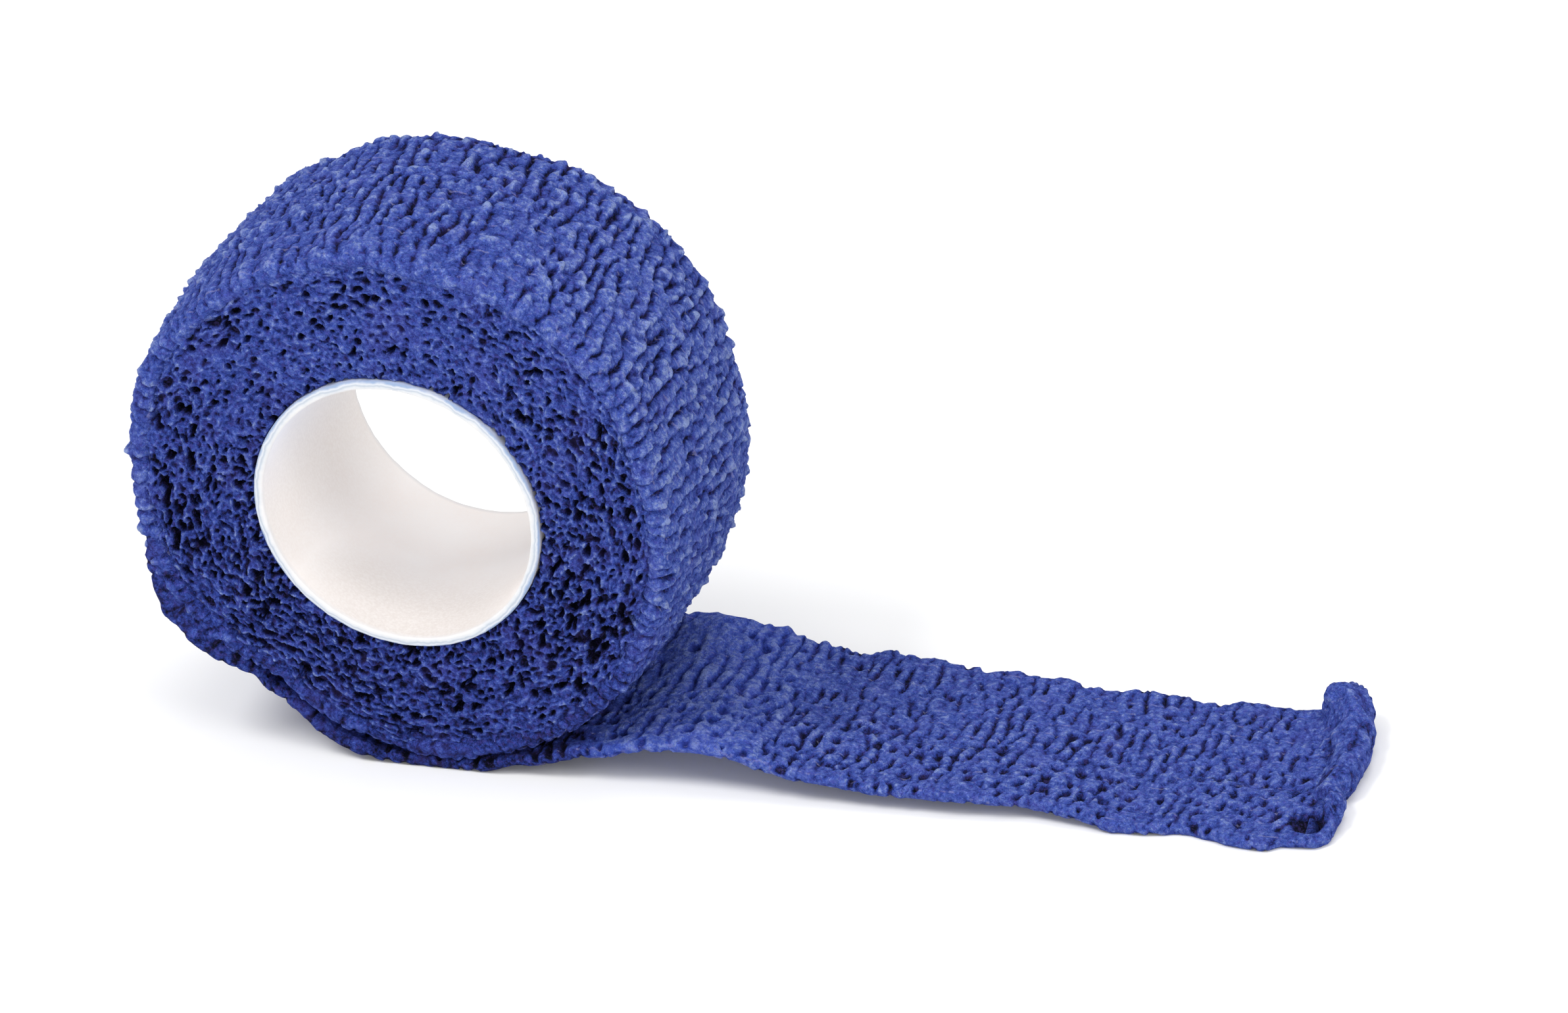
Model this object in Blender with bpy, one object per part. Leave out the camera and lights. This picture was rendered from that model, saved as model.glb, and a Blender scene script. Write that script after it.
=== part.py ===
"""Elastic compression bandage: a crinkled tape wound on a thin tube, its loose end laid out flat.

The scene is in metres with +Z up, and the sizes below are in millimetres. The roll's axis lies
along Y, its front end faces -Y and the loose end runs along +X. The origin is on the flat spot
where the roll presses its lowest turn on the table.
"""

import math

import bmesh
import bpy
from mathutils import Vector, noise

MM = 0.001


class Table:
    """Rows of named columns. The first column is the place along which the others are read."""

    def __init__(self, columns, rows):
        self.columns = columns
        self.rows = rows

    def at(self, place, column):
        """The column's value at a place, eased between the rows on either side of it."""
        index = self.columns.index(column)
        if place <= self.rows[0][0]:
            return self.rows[0][index]
        for lower, upper in zip(self.rows, self.rows[1:]):
            if place <= upper[0]:
                share = (place - lower[0]) / (upper[0] - lower[0])
                return lerp(lower[index], upper[index], share * share * (3.0 - 2.0 * share))
        return self.rows[-1][index]


TAPE_WIDTH = 25.0
TAPE_THICKNESS = 1.1
AXIS_HEIGHT = 27.95
CORE_RADIUS = 14.35
CORE_WALL = 0.9
CORE_GAP = 0.3
CORE_SIDES = 64

# Angles are measured from +X towards +Z. The last turn leaves the roll at the first one, meets
# the table at the second one, and has opened clear of the roll's ridges at the third one.
ROOT_ANGLE = 228.0
TABLE_ANGLE = 264.0
SLIT_END_ANGLE = 290.0
SLIT_FADE = 14.0
FLAT_SPOT_START = -AXIS_HEIGHT * math.tan(math.radians(270.0 - TABLE_ANGLE))
FLAT_SPOT_END = 5.0

# Ridges run across the tape. One ridge is a raised point and a sunk one.
RIBS_ON_ROLL = 112
RIBS_ON_LOOSE_TURN = 12
RIB_PITCH = 1.5
RIB_HEIGHT = 0.3
VALLEY_SHARE = 0.7
RIB_WANDER = 0.25

# Share of the half width, and how far the edge there is rounded inwards.
STATIONS = Table(("across", "inset"), (
    (-1.0, 1.0),
    (-0.96, 0.0),
    (-0.60, 0.0),
    (-0.20, 0.0),
    (0.20, 0.0),
    (0.60, 0.0),
    (0.96, 0.0),
    (1.0, 1.0),
))
ROLL_ROUNDING = 0.5
ROLL_CROWN = 0.85
TAPE_ROUNDING = 0.2

# Outside of the wound body: it grows by a turn's thickness, with a slack bulge on the left.
BODY = Table(("angle", "radius"), (
    (228.0, 25.35),
    (241.0, 25.30),
    (255.0, 26.10),
    (270.0, 26.40),
    (300.0, 26.70),
    (345.0, 26.50),
    (370.0, 26.60),
    (402.0, 27.15),
    (425.0, 27.15),
    (438.0, 26.70),
    (452.0, 27.00),
    (465.0, 26.70),
    (490.0, 26.90),
    (512.0, 27.00),
    (535.0, 26.50),
    (553.0, 26.70),
    (565.0, 28.00),
    (575.0, 27.60),
    (588.0, 26.95),
))

# Outside of the last turn, from where it leaves the body to the flat spot.
LOOSE_TURN = Table(("angle", "radius"), (
    (228.0, 27.00),
    (241.0, 26.95),
    (249.0, 27.65),
    (256.0, 28.00),
    (TABLE_ANGLE, AXIS_HEIGHT / math.cos(math.radians(270.0 - TABLE_ANGLE))),
))

# Underside of the loose end: how high its front and back edges stand off the table.
TAIL_FLAT_START = 70.0
TAIL = Table(("along", "front", "back"), (
    (FLAT_SPOT_END, 0.0, 0.0),
    (10.0, 1.1, 0.9),
    (17.0, 2.7, 2.8),
    (23.0, 4.1, 3.8),
    (27.5, 4.7, 3.6),
    (31.0, 4.4, 2.6),
    (34.5, 3.3, 1.6),
    (38.0, 2.5, 1.2),
    (47.0, 1.8, 0.8),
    (57.0, 1.4, 0.4),
    (64.0, 0.8, 0.1),
    (TAIL_FLAT_START, 0.0, 0.0),
))
TAIL_STEP = 3.0

# Half the tape's width, and how far its middle lies towards the back, along the loose end.
EDGES = Table(("along", "half_width", "drift"), (
    (5.0, 12.50, 0.0),
    (20.0, 12.20, 0.0),
    (48.0, 12.20, 0.0),
    (58.0, 12.05, -0.25),
    (70.0, 12.20, -0.35),
    (80.0, 12.45, -0.60),
    (88.0, 12.20, -0.10),
))
# The slack turn's edge sits a little inside the body's end faces.
SLACK_HALF_WIDTH = 11.7

# The end is folded up and back over itself, from the front corner, side 0, to the back one.
FOLD = Table(("side", "end", "reach", "gap"), (
    (0.0, 89.6, 3.9, 0.45),
    (0.35, 89.9, 4.2, 0.50),
    (0.75, 89.1, 5.1, 0.90),
    (1.0, 87.6, 5.2, 1.45),
))
FOLD_TIP_DROP = 0.12
FOLD_TIP_ROUNDING = 0.4
FOLD_STEPS = 8
FLAP_STEPS = 4
# The ridges on top stop here, short of the flap.
FLAP_LIMIT = 81.5

BLUE = (0.045, 0.075, 0.33, 1.0)
WHITE = (0.83, 0.80, 0.76, 1.0)


def clear_scene():
    for obj in list(bpy.data.objects):
        bpy.data.objects.remove(obj, do_unlink=True)


def make_material(name, colour, roughness):
    material = bpy.data.materials.new(name)
    material.use_nodes = True
    shader = material.node_tree.nodes["Principled BSDF"]
    shader.inputs["Base Color"].default_value = colour
    shader.inputs["Roughness"].default_value = roughness
    shader.inputs["Metallic"].default_value = 0.0
    return material


def lerp(low, high, share):
    return low + (high - low) * share


def ramp(value, low, high):
    return min(1.0, max(0.0, (value - low) / (high - low)))


class OutlinePoint:
    """A point of the side outline, with its outward normal and how much ridge it carries."""

    def __init__(
        self,
        x,
        z,
        normal,
        ridge=0.0,
        half_width=TAPE_WIDTH / 2,
        drift=0.0,
        rounding=TAPE_ROUNDING,
        crown=0.0,
    ):
        self.x = x
        self.z = z
        self.normal = normal
        self.ridge = ridge
        self.half_width = half_width
        self.drift = drift
        self.rounding = rounding
        self.crown = crown


def polar_point(angle, radius, inwards=False, **options):
    turn = math.radians(angle)
    normal = (math.cos(turn), math.sin(turn))
    x = radius * normal[0]
    z = AXIS_HEIGHT + radius * normal[1]
    if inwards:
        normal = (-normal[0], -normal[1])
    return OutlinePoint(x, z, normal, **options)


def alternate(index):
    return 1.0 if index % 2 else -VALLEY_SHARE


def body_outline():
    """The wound body's outside, a full turn from where the last turn leaves it."""
    points = []
    steps = 2 * RIBS_ON_ROLL
    for i in range(steps + 1):
        angle = ROOT_ANGLE + 360.0 * i / steps
        fade = ramp(angle, SLIT_END_ANGLE, SLIT_END_ANGLE + SLIT_FADE)
        radius = BODY.at(angle, "radius")
        points.append(
            polar_point(
                angle,
                radius,
                ridge=fade * alternate(i),
                rounding=ROLL_ROUNDING,
                crown=fade * ROLL_CROWN,
            )
        )
    return points


def slack_width(angle):
    """Half the width of the slack turn, narrowest where it stands off the body."""
    slack = ramp(angle, ROOT_ANGLE - 4.0, ROOT_ANGLE + 8.0) * (1.0 - ramp(angle, 244.0, 258.0))
    return lerp(TAPE_WIDTH / 2, SLACK_HALF_WIDTH, slack)


def loose_turn_outside():
    points = []
    steps = 2 * RIBS_ON_LOOSE_TURN
    for i in range(1, steps + 1):
        angle = lerp(ROOT_ANGLE, TABLE_ANGLE, i / steps)
        fade = 1.0 - ramp(angle, 250.0, 258.0)
        radius = LOOSE_TURN.at(angle, "radius")
        ridge = fade * alternate(i)
        points.append(polar_point(angle, radius, ridge=ridge, half_width=slack_width(angle)))
    return points


def loose_turn_inside():
    points = []
    steps = RIBS_ON_LOOSE_TURN
    for i in range(steps):
        angle = lerp(TABLE_ANGLE, ROOT_ANGLE, (i + 1) / steps)
        radius = LOOSE_TURN.at(angle, "radius") - TAPE_THICKNESS
        points.append(polar_point(angle, radius, inwards=True, half_width=slack_width(angle)))
    return points


def tail_height(along, side):
    return lerp(TAIL.at(along, "front"), TAIL.at(along, "back"), side)


def tail_point(along, height, normal, ridge=0.0):
    half_width = EDGES.at(along, "half_width")
    return OutlinePoint(along, height, normal, ridge, half_width, EDGES.at(along, "drift"))


def tail_underside(side, bend_start):
    points = []
    steps = round((TAIL_FLAT_START - FLAT_SPOT_END) / TAIL_STEP)
    for i in range(steps + 1):
        along = lerp(FLAT_SPOT_END, TAIL_FLAT_START, i / steps)
        height = tail_height(along, side)
        points.append(tail_point(along, height, (0.0, -1.0)))
    points.append(tail_point(bend_start, 0.0, (0.0, -1.0)))
    return points


def arc_points(centre_x, centre_z, radius, first, last, steps, inwards=False):
    """Points between two angles, without the arc's own ends."""
    points = []
    for i in range(1, steps):
        turn = math.radians(lerp(first, last, i / steps))
        direction = (math.cos(turn), math.sin(turn))
        x = centre_x + radius * direction[0]
        z = centre_z + radius * direction[1]
        normal = (-direction[0], -direction[1]) if inwards else direction
        points.append(tail_point(x, z, normal))
    return points


def fold_outline(end, reach, gap):
    """Round the end, back along the folded flap, and in again under it."""
    bend_radius = TAPE_THICKNESS + gap / 2
    bend_start = end - bend_radius
    tip = end - reach
    top = 2 * TAPE_THICKNESS + gap
    points = arc_points(bend_start, bend_radius, bend_radius, -90.0, 90.0, FOLD_STEPS)
    for i in range(FLAP_STEPS + 1):
        share = i / FLAP_STEPS
        along = lerp(bend_start, tip + FOLD_TIP_ROUNDING, share)
        points.append(tail_point(along, top - FOLD_TIP_DROP * share, (0.0, 1.0), alternate(i)))
    points.append(tail_point(tip, top - TAPE_THICKNESS / 2, (-1.0, 0.0)))
    points.append(tail_point(tip + FOLD_TIP_ROUNDING, TAPE_THICKNESS + gap, (0.0, -1.0)))
    points.append(tail_point(bend_start, TAPE_THICKNESS + gap, (0.0, -1.0)))
    middle = TAPE_THICKNESS + gap / 2
    points += arc_points(bend_start, middle, gap / 2, 90.0, -90.0, FOLD_STEPS // 2, inwards=True)
    points.append(tail_point(bend_start, TAPE_THICKNESS, (0.0, 1.0)))
    return points


def tail_top(side):
    """The loose end's upper side, from under the flap back to the start of the flat spot."""
    points = []
    steps = 2 * round(FLAP_LIMIT / RIB_PITCH)
    for i in range(steps + 1):
        along = lerp(FLAP_LIMIT, FLAT_SPOT_START, i / steps)
        fade = ramp(along, 9.0, 15.0) * ramp(FLAP_LIMIT - along, 0.0, 1.0)
        height = tail_height(along, side) + TAPE_THICKNESS
        points.append(tail_point(along, height, (0.0, 1.0), fade * alternate(i)))
    return points


def tape_outline(side):
    """The whole side outline, anticlockwise seen from the front; side is 0 in front and 1 behind."""
    end, reach, gap = (FOLD.at(side, column) for column in ("end", "reach", "gap"))
    return (
        body_outline()
        + loose_turn_outside()
        + tail_underside(side, end - TAPE_THICKNESS - gap / 2)
        + fold_outline(end, reach, gap)
        + tail_top(side)
        + loose_turn_inside()
    )


def uneven(index, station, seed):
    return noise.noise(Vector((0.61 * index, 0.83 * station, seed)))


def placed(point, index, station, across, inset):
    """The outline point at one station across the tape, with its ridge and rounding."""
    height = point.ridge * RIB_HEIGHT * (1.0 + 0.6 * uneven(index, station, 0.5))
    shift = height + point.crown * (1.0 - across * across) - inset * point.rounding
    slide = abs(point.ridge) * RIB_WANDER * uneven(index, station, 7.5)
    x = point.x + point.normal[0] * shift - point.normal[1] * slide
    z = point.z + point.normal[1] * shift + point.normal[0] * slide
    return Vector((x, point.drift + across * point.half_width, z)) * MM


def loft(mesh, rings):
    """Quads between neighbouring rings of equal length."""
    for ring, following in zip(rings, rings[1:]):
        count = len(ring)
        for i in range(count):
            j = (i + 1) % count
            mesh.faces.new((ring[i], ring[j], following[j], following[i]))


def ring_edges(mesh, ring):
    return [mesh.edges.get((a, b)) for a, b in zip(ring, ring[1:] + ring[:1])]


def new_object(name, mesh, collection, material):
    data = bpy.data.meshes.new(name)
    mesh.to_mesh(data)
    mesh.free()
    data.shade_smooth()
    data.set_sharp_from_angle(angle=math.radians(55.0))
    data.materials.append(material)
    obj = bpy.data.objects.new(name, data)
    collection.objects.link(obj)
    return obj


def bore_ring(mesh, radius, y):
    ring = []
    for i in range(CORE_SIDES):
        turn = 2 * math.pi * i / CORE_SIDES
        x = radius * math.cos(turn)
        z = AXIS_HEIGHT + radius * math.sin(turn)
        ring.append(mesh.verts.new(Vector((x, y, z)) * MM))
    return ring


def make_bandage(collection, material):
    """One strip: the wound body with the tube's hole through it, the last turn and the loose end."""
    mesh = bmesh.new()
    rings = []
    for station, (across, inset) in enumerate(STATIONS.rows):
        outline = tape_outline((across + 1.0) / 2.0)
        ring = [
            mesh.verts.new(placed(point, i, station, across, inset))
            for i, point in enumerate(outline)
        ]
        rings.append(ring)
    loft(mesh, rings)
    hole_radius = CORE_RADIUS + CORE_GAP
    hole = [bore_ring(mesh, hole_radius, y) for y in (-TAPE_WIDTH / 2, TAPE_WIDTH / 2)]
    loft(mesh, hole)
    for outer, inner in ((rings[0], hole[0]), (rings[-1], hole[1])):
        edges = ring_edges(mesh, outer) + ring_edges(mesh, inner)
        bmesh.ops.triangle_fill(mesh, use_beauty=True, use_dissolve=False, edges=edges)
    bmesh.ops.triangulate(mesh, faces=mesh.faces[:])
    bmesh.ops.recalc_face_normals(mesh, faces=mesh.faces[:])
    return new_object("bandage", mesh, collection, material)


def make_core(collection, material):
    """The thin tube that the tape is wound on, open at both ends."""
    mesh = bmesh.new()
    half = TAPE_WIDTH / 2
    inside = CORE_RADIUS - CORE_WALL
    corners = ((CORE_RADIUS, -half), (CORE_RADIUS, half), (inside, half), (inside, -half))
    rings = [bore_ring(mesh, radius, y) for radius, y in corners]
    loft(mesh, rings + rings[:1])
    bmesh.ops.recalc_face_normals(mesh, faces=mesh.faces[:])
    return new_object("core", mesh, collection, material)


def main():
    clear_scene()
    collection = bpy.data.collections.new("elastic_bandage")
    bpy.context.scene.collection.children.link(collection)
    make_bandage(collection, make_material("crinkled_tape", BLUE, 0.9))
    make_core(collection, make_material("core_card", WHITE, 0.6))


main()
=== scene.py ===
"""Elastic compression bandage: the looks of the wound crepe tape, its loose end and its tube.

The frame is in metres. Sizes here are in millimetres unless a name says otherwise, and are turned
to metres where a mesh is made. The roll's axis lies along Y and the loose end runs along +X.
"""

import math

import bpy
import numpy as np
from mathutils import Matrix, Vector


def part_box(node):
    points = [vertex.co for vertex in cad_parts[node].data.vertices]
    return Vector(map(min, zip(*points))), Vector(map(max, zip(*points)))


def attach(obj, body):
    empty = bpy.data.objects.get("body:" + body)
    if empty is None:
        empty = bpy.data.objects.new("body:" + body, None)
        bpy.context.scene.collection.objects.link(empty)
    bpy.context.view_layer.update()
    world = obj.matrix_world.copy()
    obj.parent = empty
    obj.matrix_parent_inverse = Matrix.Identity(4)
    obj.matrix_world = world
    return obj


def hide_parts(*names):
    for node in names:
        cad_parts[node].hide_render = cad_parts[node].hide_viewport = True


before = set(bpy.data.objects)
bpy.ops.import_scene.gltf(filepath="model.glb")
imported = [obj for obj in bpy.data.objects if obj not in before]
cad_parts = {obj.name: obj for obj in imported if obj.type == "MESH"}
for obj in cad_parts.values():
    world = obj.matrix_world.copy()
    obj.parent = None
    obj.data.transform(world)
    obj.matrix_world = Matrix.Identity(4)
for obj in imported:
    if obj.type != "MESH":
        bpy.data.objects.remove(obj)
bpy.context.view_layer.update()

MM = 0.001

# The photograph's frame and the view fitted to its ellipses and edges.
PHOTO_WIDTH = 2384
PHOTO_HEIGHT = 1540
FOCAL_PX = 16000.0
ROLL_CENTRE_PX = (670.0, 686.3)
PX_PER_MM = 15.93
AZIMUTH = math.radians(20.98)
ELEVATION = math.radians(29.02)
CAMERA_TILT = math.radians(5.61)
SENSOR_MM = 36.0

# Driving sizes, read from the frame.
CORE_LOW, CORE_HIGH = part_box("core")
CORE_RADIUS = (CORE_HIGH.x - CORE_LOW.x) / 2 / MM
AXIS_HEIGHT = (CORE_HIGH.z + CORE_LOW.z) / 2 / MM
HALF_WIDTH = (CORE_HIGH.y - CORE_LOW.y) / 2 / MM
CORE_WALL = 0.9
TAPE_THICKNESS = 1.1

# Patterns are laid out along circles of these radii and over this half of the tape's width.
OUTSIDE_RADIUS = 27.0
FACE_RADIUS = 20.0
FACE_EDGE_RADIUS = 25.5
PATTERN_HALF_WIDTH = 12.2


class Table:
    """Rows of named columns. The first column is the place along which the others are read."""

    def __init__(self, columns, rows):
        self.columns = columns
        self.rows = np.array(rows)

    def at(self, place, column):
        """The column's values at places, eased from row to row."""
        places = self.rows[:, 0]
        values = self.rows[:, self.columns.index(column)]
        place = np.clip(place, places[0], places[-1])
        lower = np.clip(np.searchsorted(places, place, side="right") - 1, 0, len(places) - 2)
        share = (place - places[lower]) / (places[lower + 1] - places[lower])
        share = share * share * (3.0 - 2.0 * share)
        return values[lower] + (values[lower + 1] - values[lower]) * share


# Outside of the wound body without its slack last turn, at its edges. Angles run from +X towards
# +Z, and the crown is how much larger it is at mid-width.
BODY = Table(("angle", "radius"), (
    (0.0, 26.60),
    (10.0, 26.60),
    (42.0, 27.15),
    (65.0, 27.15),
    (78.0, 26.70),
    (92.0, 27.00),
    (105.0, 26.70),
    (130.0, 26.90),
    (152.0, 27.00),
    (175.0, 26.55),
    (196.0, 26.35),
    (212.0, 25.80),
    (222.0, 24.90),
    (228.0, 24.10),
    (234.0, 23.75),
    (242.0, 24.60),
    (254.0, 25.45),
    (270.0, 26.40),
    (300.0, 26.70),
    (345.0, 26.50),
    (360.0, 26.60),
))
CROWN = 0.85

# Outside of the slack last turn, from where it parts from the body to the flat spot, and how
# much thicker it is made there.
PARTING_ANGLE = 184.0
FLAT_ANGLE = 264.0
FLAT_SPOT_START = -AXIS_HEIGHT * math.tan(math.radians(270.0 - FLAT_ANGLE))
LOOSE_TURN = Table(("angle", "radius", "extra"), (
    (PARTING_ANGLE, 26.00, 0.2),
    (192.0, 26.80, 0.6),
    (198.0, 27.90, 1.2),
    (204.0, 28.55, 1.9),
    (208.0, 28.90, 2.1),
    (213.0, 28.35, 1.8),
    (220.0, 27.95, 1.5),
    (225.0, 27.15, 0.8),
    (229.0, 26.40, 0.1),
    (232.0, 26.70, 0.0),
    (236.0, 26.40, 0.0),
    (241.0, 26.90, 0.0),
    (245.0, 27.60, 0.0),
    (250.0, 28.00, 0.1),
    (256.0, 28.15, 0.2),
    (FLAT_ANGLE, AXIS_HEIGHT / math.cos(math.radians(270.0 - FLAT_ANGLE)), 0.0),
))

# Underside of the loose end: how high its front and back edges stand off the table.
TAIL = Table(("along", "front", "back"), (
    (5.0, 0.0, 0.0),
    (10.0, 1.1, 1.3),
    (17.0, 2.6, 3.8),
    (23.0, 3.8, 4.3),
    (27.5, 4.3, 3.3),
    (31.0, 3.9, 2.3),
    (34.5, 2.8, 1.5),
    (38.0, 2.2, 1.2),
    (47.0, 1.5, 0.8),
    (57.0, 1.4, 0.4),
    (64.0, 0.8, 0.1),
    (70.0, 0.0, 0.0),
))
# Where the loose end's front and back edges run, before their small knobs.
EDGES = Table(("along", "front", "back"), (
    (5.0, -12.30, 12.30),
    (24.0, -12.00, 12.20),
    (33.0, -12.20, 12.00),
    (46.0, -12.40, 12.50),
    (49.0, -12.30, 11.60),
    (52.0, -12.30, 12.20),
    (55.0, -12.10, 12.00),
    (60.5, -11.55, 10.95),
    (65.0, -12.00, 11.80),
    (68.0, -12.65, 11.45),
    (71.5, -12.40, 10.80),
    (75.5, -11.60, 11.35),
    (78.0, -12.20, 11.25),
    (81.0, -13.10, 10.95),
    (83.6, -13.20, 11.20),
    (85.2, -12.30, 11.60),
    (88.5, -11.95, 11.60),
))
# The slack turn's edges run straight, this far from mid-width.
SLACK_HALF_WIDTH = 11.6
# The end is folded up and back over itself, from the front corner, side 0, to the back one: how
# far out it ends, how far it comes back and how much room the fold leaves inside.
FOLD = Table(("side", "end", "reach", "gap"), (
    (0.0, 88.6, 1.5, -0.95),
    (0.07, 89.4, 1.5, -0.95),
    (0.12, 89.7, 1.7, -0.20),
    (0.17, 89.7, 1.8, 0.55),
    (0.26, 89.6, 2.1, 0.60),
    (0.345, 88.7, 3.4, 0.30),
    (0.40, 89.6, 4.6, 0.85),
    (0.60, 89.7, 4.8, 1.00),
    (0.75, 89.2, 5.2, 1.35),
    (0.90, 88.3, 5.5, 2.10),
    (0.96, 87.6, 5.1, 2.30),
    (1.0, 86.7, 3.7, 2.15),
))
# In front, the fold leaves a small hollow behind its rim.
HOLLOW_PLACE = (87.0, -8.8)
HOLLOW_REACH = 1.75

# The tape's grid: steps along it, with fewer on its first share, the slack turn, and rows side by
# side over its top and its underside.
TAPE_STEPS = 590
SLACK_STEPS = 120
SLACK_SHARE = 0.32
TOP_ROWS = 102
UNDER_ROWS = 62
# Steps round the fold and along its flap, and how low the flap's tip comes.
FOLD_STEPS = 12
TIP_HEIGHT = 1.05

# The roll's outside: its grid, and its half outline from inside the end face to the shoulder, as
# depth under the outside and distance from mid-width.
OUTER_STEPS = 1000
OUTER_COLUMNS = 88
SHOULDER = 1.0
RIM_OUTLINE = ((3.8, 9.8), (3.1, 11.0), (2.3, 11.9), (1.7, 12.3), (1.25, 12.46))
MID_OVERLAP = 0.35

# The crepe: ridges across the tape in rows, parted by short narrow clefts. Jitters and the rows'
# stagger are shares of a ridge's cell.
RIDGE_PITCH = 1.48
RIDGE_LENGTH = 2.5
RIDGE_BEVEL = 0.50
CLEFT_WIDTH = 0.14
JITTER_ALONG = 0.62
JITTER_ACROSS = 0.70
ROW_STAGGER = 0.45
ROW_SQUASH = 0.50
# Small pits of the loose end, in rows along its threads.
PIT_PITCH = 1.95
PIT_ROW_PITCH = 2.15
# The end faces: points outwards for each one round, gap to the tube, how far they reach in under
# the outside and how deep their hidden wall is.
RINGS_PER_STEP = 0.088
FACE_GAP = 0.10
FACE_TUCK = 1.0
FACE_WALL_DEPTH = 3.6
# Spacing of their pores and of the turns' edges, and the swing and wavelength of those edges.
PORE_PITCH = 1.12
PORE_ROW_PITCH = 0.84
TURN_THICKNESS = 0.80
EDGE_SWING = 0.44
EDGE_WAVE = 0.75
# Softer relief in layers: height in mm, size in mm, step of the seed and octaves.
CREPE_LAYERS = ((0.09, 0.75, 50, 1), (0.08, 0.42, 57, 1), (0.15, 5.0, 60, 2))
FACE_LAYERS = ((0.10, 0.8, 90, 2), (0.16, 3.0, 92, 2), (0.04, 0.34, 95, 1))
# Farther than any distance met here.
FAR = 1e9

# The crinkled outside's mean line stands this far past the body's smooth one.
KNOB_OFFSET = Table(("angle", "offset"), (
    (0.0, 0.35),
    (15.0, 0.30),
    (30.0, 0.80),
    (75.0, 0.80),
    (90.0, 0.75),
    (135.0, 0.70),
    (180.0, 0.45),
    (230.0, 0.25),
    (300.0, 0.25),
    (360.0, 0.35),
))


def smooth_step(value, low, high):
    """0 up to low, 1 from high on, and eased between them."""
    share = np.clip((value - low) / (high - low), 0.0, 1.0)
    return share * share * (3.0 - 2.0 * share)


def near_to(distance, outer, inner):
    """1 where a distance either way is under inner, easing to 0 where it is past outer."""
    return smooth_step(-np.abs(distance), -outer, -inner)


def rounding(distance, reach):
    """A quarter round: 0 at an edge, and 1 once the distance from it is past the reach."""
    return np.sqrt(np.clip(1.0 - (1.0 - np.clip(distance / reach, 0.0, 1.0)) ** 2, 0.0, 1.0))


def lattice(ix, iy, seed):
    """A fixed pseudo-random value from 0 to 1 for each whole-numbered cell."""
    n = (ix.astype(np.int64) * 374761393 + iy.astype(np.int64) * 668265263 + seed * 974634777)
    n = n & 0xFFFFFFFF
    n = ((n ^ (n >> 13)) * 1274126177) & 0xFFFFFFFF
    n = n ^ (n >> 16)
    return n / 4294967296.0


def value_noise(x, y, seed, wrap=0):
    """Smooth noise from -1 to 1 with features one unit wide, repeating every wrap units of x."""
    ix = np.floor(x)
    iy = np.floor(y)
    fx = x - ix
    fy = y - iy
    fx = fx * fx * fx * (fx * (fx * 6.0 - 15.0) + 10.0)
    fy = fy * fy * fy * (fy * (fy * 6.0 - 15.0) + 10.0)
    jx = ix + 1
    if wrap:
        ix = ix % wrap
        jx = jx % wrap
    low = lattice(ix, iy, seed) * (1 - fx) + lattice(jx, iy, seed) * fx
    high = lattice(ix, iy + 1, seed) * (1 - fx) + lattice(jx, iy + 1, seed) * fx
    return (low * (1 - fy) + high * fy) * 2.0 - 1.0


def noise_mm(s, y, size, seed, around=0.0, octaves=1):
    """Noise over millimetres with features of a size. It closes on itself after around mm of s."""
    total = np.zeros(np.broadcast(s, y).shape)
    share = 1.0
    for octave in range(octaves):
        cell = size / 2**octave
        wrap = 0
        if around:
            wrap = max(1, round(around / cell))
            cell_s = around / wrap
        else:
            cell_s = cell
        total += share * value_noise(s / cell_s, y / cell + 0.37 * octave, seed + octave, wrap)
        share *= 0.5
    return total


def roughened(height, s, y, seed, around, layers):
    """The height with layers of noise added to it."""
    for rise, size, step, octaves in layers:
        height = height + rise * noise_mm(s, y, size, seed + step, around, octaves)
    return height


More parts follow.
